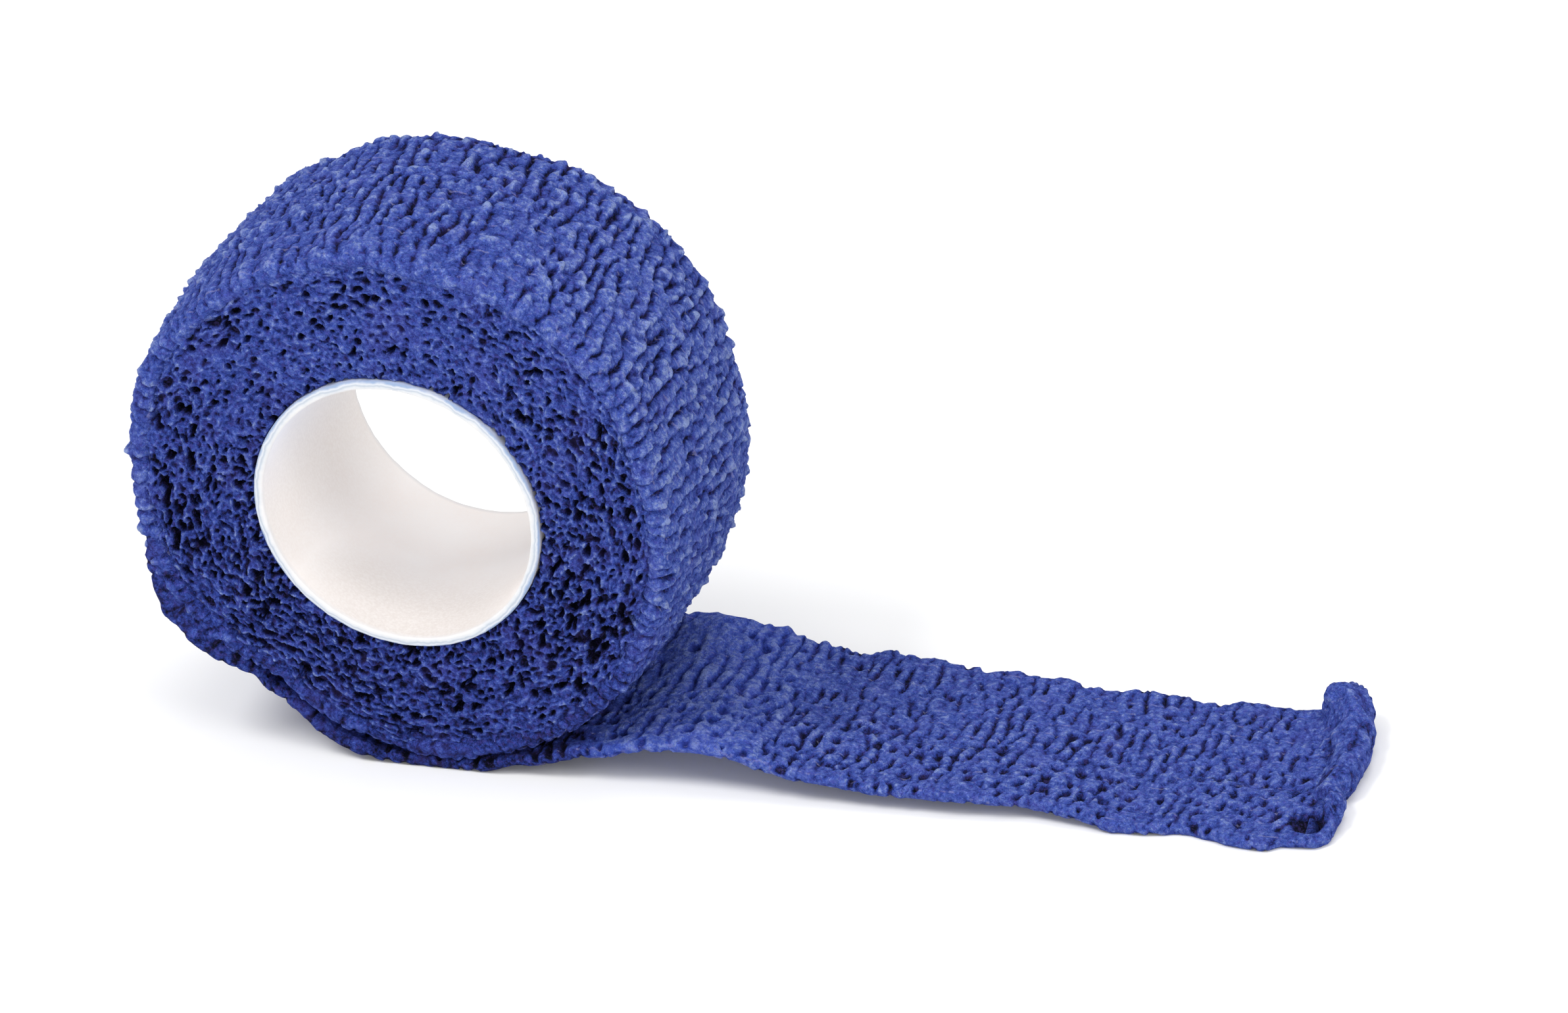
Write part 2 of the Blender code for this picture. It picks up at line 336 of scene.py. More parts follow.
def cleft_field(s, y, seed, around=0.0, hang=0.0):
    """How hollow and how deep in a cleft each place is, and how its ridge's flat side lies.

    Ridges lie across the tape in rows, so the clefts between neighbours of a row are strong and
    those between rows are faint. With a hang, every ridge tips the same way along s."""
    pitch = RIDGE_PITCH
    wrap = 0
    if around:
        wrap = round(around / RIDGE_PITCH)
        pitch = around / wrap
    gx = s / pitch
    gy = y / RIDGE_LENGTH
    cell_x = np.floor(gx)
    cell_y = np.floor(gy)
    cells = []
    for dx in (-2, -1, 0, 1, 2):
        for dy in (-1, 0, 1):
            cx = cell_x + dx
            cy = cell_y + dy
            lx = cx % wrap if wrap else cx
            jitter_x = JITTER_ALONG * (lattice(lx, cy, seed) - 0.5)
            jitter_y = JITTER_ACROSS * (lattice(lx, cy, seed + 1) - 0.5)
            stagger = ROW_STAGGER * (lattice(0 * lx, cy, seed + 2) - 0.5)
            vx = (cx + 0.5 + jitter_x + stagger - gx) * pitch
            vy = (cy + 0.5 + jitter_y - gy) * RIDGE_LENGTH * ROW_SQUASH
            cells.append((vx, vy, lattice(lx, cy, seed + 3)))
    near = np.full(gx.shape, FAR)
    near_x = np.zeros(gx.shape)
    near_y = np.zeros(gx.shape)
    near_id = np.zeros(gx.shape)
    for vx, vy, name in cells:
        distance = vx * vx + vy * vy
        first = distance < near
        near = np.where(first, distance, near)
        near_x = np.where(first, vx, near_x)
        near_y = np.where(first, vy, near_y)
        near_id = np.where(first, name, near_id)
    hollow = np.zeros(gx.shape)
    narrow = np.zeros(gx.shape)
    for vx, vy, name in cells:
        ux = vx - near_x
        uy = vy - near_y
        length = np.hypot(ux, uy)
        other = length > 1e-6
        length = np.where(other, length, 1.0)
        edge = ((near_x + vx) * ux + (near_y + vy) * uy) / (2 * length)
        edge = np.where(other, edge, FAR)
        strong = smooth_step(np.abs(ux) / length, 0.70, 0.98)
        chance = (near_id + name) % 1.0
        weight = 0.07 + strong * (0.35 + 0.65 * chance)
        valley = 0.20 + 0.80 * strong
        hollow += valley * np.clip(1.0 - edge / RIDGE_BEVEL, 0.0, 1.0) ** 1.5
        cleft = np.exp(-((np.maximum(edge, 0.0) / CLEFT_WIDTH) ** 1.5))
        narrow = np.maximum(narrow, weight * cleft)
    tilt = (near_id * 7.0) % 1.0 - 0.5
    facet = near_id - 0.5 + (0.9 * tilt + hang) * near_x
    return np.minimum(hollow, 1.3), np.minimum(narrow, 1.0), facet


def crepe(s, y, seed, around=0.0, strength=1.0, cleft_share=1.0, ridges=0.26, hang=0.0):
    """Height of the crinkled surface in mm, and how deep in a cleft each place is, from 0 to 1."""
    bend = 0.26 * noise_mm(s, y, 3.2, seed + 20, around, 2)
    bend += 0.12 * noise_mm(s, y, 0.6, seed + 45, around)
    hollow, narrow, facet = cleft_field(s + bend, y + 0.5 * bend, seed, around, hang)
    calm = 0.45 + 0.55 * smooth_step(noise_mm(s, y, 6.5, seed + 30, around, 2), -0.80, 0.15)
    taper = smooth_step(noise_mm(s, y, 1.5, seed + 35, around), -0.80, 0.20)
    power = calm * taper * strength * cleft_share
    pit = smooth_step(noise_mm(s, y, 1.4, seed + 40, around), 0.20, 0.75)
    height = 0.12 - ridges * hollow * power - (0.22 + 0.42 * pit) * narrow * power
    height += 0.13 * facet + 0.07 * noise_mm(s / 0.8, y / 1.5, 1.4, seed + 52, around / 0.8)
    height = roughened(height, s, y, seed, around, CREPE_LAYERS)
    cavity = np.clip(narrow * power * (0.85 + 0.9 * pit) + 0.30 * hollow * power, 0.0, 1.0)
    return height, cavity


def pit_rows(s, y, seed):
    """Small deep pits along the lengthwise threads, thickest over the front half; 0 to 1."""
    gx = (s + 0.25 * noise_mm(s, y, 0.8, seed + 1)) / PIT_PITCH
    wander = 0.18 * noise_mm(s, y, 0.8, seed + 2) + 0.25 * noise_mm(s, 0 * y, 12.0, seed + 3)
    gy = (y + wander) / PIT_ROW_PITCH
    cell_x = np.floor(gx)
    cell_y = np.floor(gy)
    depth = np.zeros(gx.shape)
    for dx in (-1, 0, 1):
        cx = cell_x + dx
        px = (cx + 0.5 + 0.6 * (lattice(cx, cell_y, seed + 4) - 0.5) - gx) * PIT_PITCH
        py = (cell_y + 0.5 + 0.3 * (lattice(cx, cell_y, seed + 5) - 0.5) - gy) * PIT_ROW_PITCH
        size = 0.20 + 0.24 * lattice(cx, cell_y, seed + 6)
        here = lattice(cx, cell_y, seed + 7) < 0.10 + 0.55 * smooth_step(-y, -1.0, 3.0)
        distance = np.hypot(px, py * 0.60) / size
        depth = np.maximum(depth, np.where(here, 1.0 - smooth_step(distance, 0.15, 1.60), 0.0))
    return depth


def blurred(values, reach, wrap_rows):
    """The values averaged over a square of the grid, twice."""
    for _ in range(2):
        for axis in (0, 1):
            total = np.zeros_like(values)
            for shift in range(-reach, reach + 1):
                moved = np.roll(values, shift, axis)
                if not (wrap_rows and axis == 0) and shift:
                    edge = slice(0, shift) if shift > 0 else slice(shift, None)
                    place = (edge, slice(None)) if axis == 0 else (slice(None), edge)
                    moved[place] = values[place]
                total += moved
            values = total / (2 * reach + 1)
    return values


def tone_of(height, cavity, reach, wrap_rows, gain):
    """Painted highlight on the tops of the relief and painted shade in its hollows, from 0 to 1."""
    raised = height - blurred(height, reach, wrap_rows)
    return np.clip(0.54 + gain * raised - 0.46 * cavity, 0.0, 1.0)


def grid_faces(rows, columns, wrap_rows, wrap_columns):
    """The corners of each square between neighbouring points of a grid."""
    index = np.arange(rows * columns).reshape(rows, columns)
    if wrap_rows:
        index = np.vstack([index, index[:1]])
    if wrap_columns:
        index = np.hstack([index, index[:, :1]])
    corners = (index[:-1, :-1], index[1:, :-1], index[1:, 1:], index[:-1, 1:])
    return np.stack(corners, axis=-1).reshape(-1, 4)


def ring_faces(points, side=-1):
    """Faces of a grid that closes on itself both ways, turned over for the back half."""
    faces = grid_faces(points.shape[0], points.shape[1], True, True)
    return faces[:, ::-1] if side > 0 else faces


def surface_normals(points, wrap_rows, wrap_columns):
    """Unit normals of a grid of points, from its neighbours' differences."""
    along = np.roll(points, -1, 0) - np.roll(points, 1, 0)
    across = np.roll(points, -1, 1) - np.roll(points, 1, 1)
    if not wrap_rows:
        along[0] = points[1] - points[0]
        along[-1] = points[-1] - points[-2]
    if not wrap_columns:
        across[:, 0] = points[:, 1] - points[:, 0]
        across[:, -1] = points[:, -1] - points[:, -2]
    normals = np.cross(along, across)
    return normals / np.maximum(np.linalg.norm(normals, axis=-1, keepdims=True), 1e-12)


def make_object(name, points, faces, attributes, material, fans=()):
    """A mesh from points in mm, with a value for each point under each attribute's name. Faces
    have four corners, and those of the fans have three."""
    mesh = bpy.data.meshes.new(name)
    points = points.reshape(-1, 3)
    mesh.vertices.add(len(points))
    mesh.vertices.foreach_set("co", (points * MM).astype(np.float32).ravel())
    corners = np.concatenate([faces.ravel()] + [fan.ravel() for fan in fans])
    starts = [np.arange(0, faces.size, 4)]
    used = faces.size
    for fan in fans:
        starts.append(np.arange(used, used + fan.size, 3))
        used += fan.size
    starts = np.concatenate(starts)
    mesh.loops.add(len(corners))
    mesh.loops.foreach_set("vertex_index", corners.astype(np.int32))
    mesh.polygons.add(len(starts))
    mesh.polygons.foreach_set("loop_start", starts.astype(np.int32))
    for label, values in attributes.items():
        layer = mesh.attributes.new(label, "FLOAT", "POINT")
        layer.data.foreach_set("value", values.astype(np.float32).ravel())
    mesh.update(calc_edges=True)
    mesh.validate()
    mesh.shade_smooth()
    mesh.materials.append(material)
    obj = bpy.data.objects.new(name, mesh)
    bpy.context.scene.collection.objects.link(obj)
    return obj


def around_axis(angle, radius, y):
    """Points at angles in radians and radii about the roll's axis."""
    x = radius * np.cos(angle)
    z = AXIS_HEIGHT + radius * np.sin(angle)
    return np.stack(np.broadcast_arrays(x, y, z), axis=-1)


def resampled(points, count):
    """The polyline's points, spaced evenly along it."""
    points = np.array(points, float)
    steps = np.concatenate([[0.0], np.cumsum(np.linalg.norm(np.diff(points, axis=0), axis=1))])
    places = np.linspace(0.0, steps[-1], count)
    columns = [np.interp(places, steps, column) for column in points.T]
    return np.stack(columns, axis=1)


def outer_outline():
    """The half outline of the roll's outside: depth under it and distance from mid-width."""
    outline = list(RIM_OUTLINE)
    for i in range(9):
        turn = math.pi / 2 * i / 8
        depth = SHOULDER * (1 - math.sin(turn))
        outline.append((depth, HALF_WIDTH - SHOULDER * (1 - math.cos(turn))))
    outline.append((0.0, -MID_OVERLAP))
    return resampled(outline, OUTER_COLUMNS)


def outside_radius(degrees):
    """The mean radius of the roll's crinkled outside without its crown."""
    return BODY.at(degrees, "radius") + KNOB_OFFSET.at(degrees, "offset")


def outer_relief(angle, degrees, run, inward):
    """Height of the roll's crinkled outside, its cavity and how far its rim is tucked in.

    It fades over the shoulder, and the front half of the crown is smoother."""
    around = 2 * np.pi * OUTSIDE_RADIUS
    s = angle * OUTSIDE_RADIUS
    fading = 1.0 - 0.60 * smooth_step(np.abs(run), 11.0, 13.2) + 0 * s
    border = -run + 1.6 * noise_mm(s, run, 4.0, 67, around, 2)
    smooth = near_to(degrees - 92.0, 62.0, 34.0) * smooth_step(border, 4.5, 9.0)
    fading = fading * (1.0 - 0.30 * smooth)
    # The ridges hang down on both sides of the roll.
    hang = 2.0 * np.cos(angle)
    height, cavity = crepe(s + 0 * run, run + 0 * s, 3, around, 1.20, fading, hang=hang)
    spikes = np.clip(noise_mm(s, run, 0.85, 68, around) - 0.34, 0.0, 1.0)
    spikes = spikes * smooth_step(np.abs(degrees - 270.0), 30.0, 60.0)
    height = height * (1.0 - 0.15 * smooth) + 0.70 * spikes * (1.0 - 0.8 * smooth)
    height = height + 0.20 * smooth * noise_mm(s, run / 3.0, 1.7, 69, around)
    wander = 0.45 * noise_mm(s, 0 * s, 3.5, 66, around, 2)
    on_top = 1.0 - smooth_step(inward + wander, 0.1, 1.5)
    tucked = smooth_step(inward + wander, 1.1, 2.2)
    soft = 0.10 * noise_mm(s, run, 0.9, 77, around, 3) + 0.10 * noise_mm(s, run, 3.5, 78, around, 2)
    height = height * (0.45 + 0.55 * on_top) + soft * (1.0 - on_top)
    return height, cavity * (0.40 + 0.60 * on_top), tucked


def outer_tone(height, cavity, degrees, inward):
    """Painted light on the right of the roll, and painted shade in the wedge over the loose end and
    low down on the rim."""
    tone = tone_of(height, cavity, 6, True, 0.90)
    right_side = 30.0
    from_right = (degrees + (180.0 - right_side)) % 360.0 - 180.0
    # Painted light on the right side, painted shade in the wedge and on the lower rim.
    tone = tone + 0.05 * near_to(from_right, 48.0, 20.0)
    in_wedge = near_to(degrees - 297.0, 44.0, 8.0)
    lower_rim = near_to(degrees - 232.0, 48.0, 28.0) * smooth_step(inward, 0.05, 0.6)
    return tone - 0.26 * in_wedge - 0.20 * lower_rim


def make_outer_turns(name, side, material):
    """Half of the roll's outside with its soft shoulder: a closed ring, its inner wall hidden.

    The halves meet in a valley round the roll at mid-width, each dipping under the other there."""
    outline = outer_outline()
    inward = outline[:, 0][None, :]
    y = outline[:, 1][None, :]
    dip = 0.9 * smooth_step(-y, -0.12, MID_OVERLAP)
    y = y * side
    angle = np.linspace(0.0, 2 * np.pi, OUTER_STEPS, endpoint=False)[:, None]
    degrees = np.degrees(angle)
    crown = CROWN * np.maximum(0.0, 1.0 - (y / HALF_WIDTH) ** 2)
    radius = outside_radius(degrees) + crown - inward
    run = y + 0.9 * side * inward
    height, cavity, tucked = outer_relief(angle, degrees, run, inward)
    tone = outer_tone(height, cavity, degrees, inward)
    points = around_axis(angle, radius, y)
    normals = surface_normals(points, True, False)
    # A place near mid-width tells which way the normals point.
    near_middle = OUTER_COLUMNS - 8
    outwards = points[0, near_middle] - np.array([0.0, 0.0, AXIS_HEIGHT])
    if (normals[0, near_middle] * outwards).sum() < 0:
        normals = -normals
    points = points + normals * (height - dip - 0.20 * tucked)[..., None]
    points[..., 2] = np.maximum(points[..., 2], 0.4)
    values = {"tone": tone, "threads": 1.0 + 0 * tone}
    return make_object(name, points, ring_faces(points, side), values, material)


def pore_field(s, r, seed, around, openness):
    """The sponge of the end face: signed distance to the nearest pore's rim and its depth in mm."""
    wrap = round(around / PORE_PITCH)
    pitch = around / wrap
    bent_s = s + 0.20 * noise_mm(s, r, 0.9, seed + 5, around, 2)
    bent_s = bent_s + 0.09 * noise_mm(s, r, 0.33, seed + 7, around)
    bent_r = r + 0.18 * noise_mm(s, r, 0.9, seed + 6, around, 2)
    bent_r = bent_r + 0.07 * noise_mm(s, r, 0.33, seed + 8, around)
    gx = bent_s / pitch
    gy = bent_r / PORE_ROW_PITCH
    cell_x = np.floor(gx)
    cell_y = np.floor(gy)
    nearest = np.full(gx.shape, FAR)
    depth = np.zeros(gx.shape)
    for dx in (-1, 0, 1):
        for dy in (-1, 0, 1):
            cx = cell_x + dx
            cy = cell_y + dy
            lx = cx % wrap
            px = (cx + 0.5 + 0.62 * (lattice(lx, cy, seed) - 0.5) + 0.5 * (cy % 2) - gx) * pitch
            py = (cy + 0.5 + 0.60 * (lattice(lx, cy, seed + 1) - 0.5) - gy) * PORE_ROW_PITCH
            size = lattice(lx, cy, seed + 2)
            shape = lattice(lx, cy, seed + 3)
            lean = 1.4 * (lattice(lx, cy, seed + 4) - 0.5)
            here = lattice(lx, cy, seed + 9) < 0.68 + 0.30 * openness
            shallow = lattice(lx, cy, seed + 10) > 0.30 + 0.55 * openness
            long = (0.22 + 0.34 * size**1.5) * (0.76 + 0.54 * openness)
            short = long * (0.34 + 0.46 * shape)
            u = px * np.cos(lean) + py * np.sin(lean)
            v = -px * np.sin(lean) + py * np.cos(lean)
            gone = np.where(here, 0.0, 1.0)
            distance = (np.sqrt((u / long) ** 2 + (v / short) ** 2) - 1.0) * short + gone
            closer = distance < nearest
            depth_here = np.where(shallow, 0.12 + 0.30 * shape, 0.5 + 1.5 * size)
            depth = np.where(closer, depth_here, depth)
            nearest = np.where(closer, distance, nearest)
    return nearest, depth


def layer_edges(angle, radius, seed):
    """Distance in mm from each place to the nearest crinkled edge of the spiral of turns."""
    start = CORE_RADIUS + 0.15
    around = 2 * np.pi * FACE_RADIUS
    warp = 0.26 * noise_mm(angle * FACE_RADIUS, radius, 1.25, seed + 5, around, 2)
    place = (radius + warp - start) / TURN_THICKNESS - angle / (2 * np.pi)
    base = np.floor(place)
    nearest = np.full(place.shape, FAR)
    for step in (-1, 0, 1, 2):
        turn = base + step
        wound = turn + angle / (2 * np.pi)
        run = 2 * np.pi * (start * wound + TURN_THICKNESS * wound * wound / 2)
        swing = EDGE_SWING * value_noise(run / EDGE_WAVE, 0 * run + 3.0, seed)
        ahead = EDGE_SWING * value_noise((run + 0.1) / EDGE_WAVE, 0 * run + 3.0, seed)
        slope = (ahead - swing) / 0.1
        across = np.abs((place - turn) * TURN_THICKNESS - swing)
        nearest = np.minimum(nearest, across / np.sqrt(1.0 + slope * slope))
    return nearest


def face_openness(angle, s, radius, seed):
    """How open the pores are, from 0 to 1, most low down and at the sides; and how low each
    place is."""
    low = 0.5 + 0.5 * np.cos(angle - math.radians(262.0))
    sides = 0.5 + 0.5 * np.cos(2 * angle)
    patches = 0.28 * noise_mm(s, radius, 4.5, seed + 60, 2 * np.pi * FACE_RADIUS, 2)
    return np.clip(0.10 + 0.55 * low + 0.30 * sides + patches, 0.0, 1.0), low


def make_end_face(name, side, material, steps, seed):
    """The porous end face between the tube and the outer turns; side is -1 in front, 1 behind."""
    rings = int(steps * RINGS_PER_STEP)
    angle = np.linspace(0.0, 2 * np.pi, steps, endpoint=False)[:, None]
    share = np.linspace(0.0, 1.0, rings)[None, :]
    inner = CORE_RADIUS + FACE_GAP
    outer = outside_radius(np.degrees(angle)) - FACE_TUCK
    radius = inner + (outer - inner) * share
    even = inner + (FACE_EDGE_RADIUS - inner) * share + 0 * angle
    around = 2 * np.pi * FACE_RADIUS
    s = angle * FACE_RADIUS + 0 * share
    openness, low = face_openness(angle, s, even, seed)
    distance, deep = pore_field(s, even, seed, around, openness)
    pore = 1.0 - smooth_step(distance, -0.10, 0.07)
    rim = np.exp(-(((distance - 0.12) / 0.10) ** 2))
    curl = np.exp(-((layer_edges(angle + 0 * share, even, seed + 30) / 0.13) ** 2))
    height = 0.10 * rim * (0.4 + 0.6 * openness) + (0.08 + 0.16 * openness) * (curl - 0.4)
    height = roughened(height, s, even, seed, around, FACE_LAYERS)
    ragged = 0.035 * noise_mm(s, even, 1.2, seed + 97, around, 2)
    sunk = 0.35 * smooth_step(share + ragged, 0.89, 1.0)
    seat = 0.35 * smooth_step(-share, -0.06, 0.0)
    # Painted shade: pores darker by their depth, and the whole face darker, more so low down;
    # painted highlight on raised rims and curls; a little paler near the outer edge.
    dark = np.clip(0.25 + 0.85 * deep, 0.0, 1.4)
    tone = tone_of(height, pore * dark, 4, True, 1.7) - 0.06 - 0.09 * low
    tone = tone - 0.40 * pore * np.clip(deep, 0.0, 1.0) + 0.06 * smooth_step(share, 0.88, 0.97)
    y = side * (HALF_WIDTH - 0.10 + height - pore * deep - sunk - seat)
    points = [around_axis(angle, radius, y)]
    wall_y = side * (HALF_WIDTH - FACE_WALL_DEPTH)
    for wall_radius in (outer, inner + 0 * outer):
        points.append(around_axis(angle, wall_radius, wall_y + 0 * angle))
    points = np.concatenate(points, axis=1)
    tone = np.concatenate([tone, np.zeros((steps, 2))], axis=1)
    return make_object(name, points, ring_faces(points, side), {"tone": tone}, material)


def tape_path(side):
    """The tape's outer side in the XZ plane: from where the last turn parts from the body, under
    the roll, along the table and round the fold to the tip; and each point's distance along it."""
    angles = np.arange(PARTING_ANGLE, FLAT_ANGLE, 1.5)
    radii = LOOSE_TURN.at(angles, "radius")
    turned = np.radians(angles)
    route = list(zip(radii * np.cos(turned), AXIS_HEIGHT + radii * np.sin(turned)))
    end, reach, gap = (float(FOLD.at(side, column)) for column in ("end", "reach", "gap"))
    bend_radius = TAPE_THICKNESS + gap / 2
    bend_start = end - bend_radius
    along = np.arange(FLAT_SPOT_START, bend_start, 0.5)
    height = TAIL.at(along, "front") * (1 - side) + TAIL.at(along, "back") * side
    route += list(zip(along, height))
    for i in range(FOLD_STEPS + 1):
        turn = math.radians(-90.0 + 180.0 * i / FOLD_STEPS)
        x = bend_start + bend_radius * math.cos(turn)
        route.append((x, bend_radius * (1 + math.sin(turn))))
    top = 2 * bend_radius
    tip = min(top, TIP_HEIGHT)
    uneven = 0.55 * value_noise(np.array(side * 9.0), np.array(2.5), 61)
    uneven += 0.30 * value_noise(np.array(side * 22.0), np.array(5.5), 62)
    reach += float(uneven * smooth_step(side, 0.25, 0.5))
    steep = 0.66 * float(smooth_step(side, 0.88, 0.97))
    for i in range(1, FOLD_STEPS + 1):
        drop = float(smooth_step(i / FOLD_STEPS, steep, 1.04))
        x = bend_start + (end - reach - bend_start) * i / FOLD_STEPS
        route.append((x, top + (tip - top) * drop))
    route = np.array(route)
    steps = np.concatenate([[0.0], np.cumsum(np.linalg.norm(np.diff(route, axis=0), axis=1))])
    slack = np.linspace(0.0, SLACK_SHARE, SLACK_STEPS, endpoint=False)
    rest = np.linspace(SLACK_SHARE, 1.0, TAPE_STEPS - SLACK_STEPS)
    places = np.concatenate([slack, rest]) * steps[-1]
    return np.stack([np.interp(places, steps, route[:, i]) for i in range(2)], axis=1), places


def turn_of(points):
    """Each point's angle about the roll's axis, in degrees from 0 to 360."""
    return np.degrees(np.arctan2(points[..., 2] - AXIS_HEIGHT, points[..., 0])) % 360.0


def tape_grid(rows):
    """The tape's outer side as a grid of points, and how far along the tape each one is."""
    outer = np.zeros((TAPE_STEPS, len(rows), 3))
    s = np.zeros((TAPE_STEPS, len(rows)))
    for j, across in enumerate(rows):
        side = (across + 1.0) / 2.0
        path, s[:, j] = tape_path(side)
        x = path[:, 0]
        slack = smooth_step(-x, 6.0, 12.0)
        front = EDGES.at(x, "front") * (1 - slack) - SLACK_HALF_WIDTH * slack
        back = EDGES.at(x, "back") * (1 - slack) + SLACK_HALF_WIDTH * slack
        outer[:, j, 0] = x
        outer[:, j, 1] = front + (back - front) * side
        outer[:, j, 2] = path[:, 1]
    return outer, s


def tape_relief(s, y, slack, flap, seed, strength):
    """Height and cavity of the crepe over the tape, with its pits, calmer at its edges and on
    the flap that is folded over."""
    stretched = np.where(y > 0.0, y, 1.20 * y)
    height, cavity = crepe(s, stretched, seed, strength=strength, ridges=0.25)
    mottle = noise_mm(s, y, 1.5, seed + 80, 0.0, 3)
    height = height * (1.0 - 0.55 * flap) + 0.22 * mottle * flap
    cavity = cavity * (1.0 - 0.55 * flap) + 0.45 * smooth_step(-mottle, 0.35, 1.0) * flap
    pits = pit_rows(s, y, seed + 70) * (1.0 - 0.85 * slack) * (1.0 - flap)
    edge = PATTERN_HALF_WIDTH - np.abs(y)
    calm_edge = np.maximum(smooth_step(edge, 0.2, 2.2), 0.7 * slack)
    calm_edge = np.where(y > 0.0, 0.80 + 0.20 * calm_edge, 0.35 + 0.65 * calm_edge)
    height = height * calm_edge * (1.0 - 0.15 * flap) - 0.55 * pits
    cavity = np.clip(cavity * calm_edge * (1.0 - 0.2 * flap) + 0.90 * pits, 0.0, 1.0)
    return height, cavity


def make_edges_uneven(outer, s, share, slack):
    """Moves the points of the tape's edges: they sway, the back one has knobs, and the slack turn
    is ribbed in front and wider up to where it has parted from the roll."""
    sway = 0.16 * noise_mm(s, 0 * s + 9.0 * np.sign(share), 2.6, 15, 0.0, 2)
    sway += 0.14 * noise_mm(s, 0 * s + 40.0 + 9.0 * np.sign(share), 1.0, 16)
    knobs = smooth_step(noise_mm(s, 0 * s + 70.0, 1.5, 17), 0.05, 0.75)
    knobs += 0.55 * smooth_step(noise_mm(s, 0 * s + 90.0, 0.8, 19), -0.2, 0.6)
    knobs += 0.80 * smooth_step(noise_mm(s, 0 * s + 50.0, 1.1, 23), 0.55, 0.95)
    back = np.clip(share, 0.0, 1.0)
    outer[..., 1] += (sway * (1.0 + 0.5 * share) + 0.60 * back * knobs) * np.abs(share) ** 3
    parted = smooth_step(turn_of(outer), 212.0, 230.0)
    ribs = noise_mm(s, 0 * s + 20.0, 1.0, 18) + 0.8 * noise_mm(s, 0 * s + 30.0, 2.3, 20)
    ribs = ribs * slack * (0.4 + 0.6 * parted) * (1.0 - np.clip(share + 1.0, 0.0, 1.0))
    outer[..., 1] += 0.30 * ribs + 0.65 * np.sign(share) * slack * (1.0 - parted) * np.abs(share)


def tape_tone(height, cavity, x, slack):
    """Painted shade in the wedge by the roll and on the slack turn, and painted light a little past
    the wedge, lifting the roll's shadow there.
    """
    tone = tone_of(height, cavity, 3, False, 0.85)
    tone = tone - 0.34 * (1.0 - smooth_step(x, 12.0, 19.0)) + 0.12 * slack
    return tone + 0.15 * near_to(x - 25.5, 11.0, 3.0)


def tape_side(rows, seed, strength):
    """A grid of the tape's outer side, and over it the crepe's height, tone and rounding shares."""
    outer, s = tape_grid(rows)
    inwards = surface_normals(outer, False, False)
    if inwards[TAPE_STEPS // 2, len(rows) // 2, 2] < 0:
        inwards = -inwards
    y = rows[None, :] * PATTERN_HALF_WIDTH + 0 * s
    slack = smooth_step(-outer[..., 0], 4.0, 10.0)
    flap = smooth_step(s - s[-1:], -7.5, -5.5)
    height, cavity = tape_relief(s, y, slack, flap, seed, strength)
    rounded = rounding(PATTERN_HALF_WIDTH - np.abs(y), 0.55 + 0.70 * flap)
    rounded_end = rounding(np.minimum(s, s[-1:] - s), 1.3)
    make_edges_uneven(outer, s, rows[None, :], slack)
    tone = tape_tone(height, cavity, outer[..., 0], slack)
    return outer, inwards, s, height, tone, np.minimum(rounded, rounded_end)


def fold_hollow(points):
    """How far inside the small hollow of the fold each point is, from 0 to 1."""
    x = points[..., 0]
    y = points[..., 1]
    spread = np.hypot(x - HOLLOW_PLACE[0], y - HOLLOW_PLACE[1]) / HOLLOW_REACH
    return 1.0 - smooth_step(spread + 0.25 * noise_mm(x, y, 1.2, 88), 0.55, 1.15)


def closer_at_edges(count):
    """Places from -1 to 1 over the tape's width, closer together near its edges."""
    bend = 1.25
    return np.sin(np.linspace(-1.0, 1.0, count) * bend) / math.sin(bend)


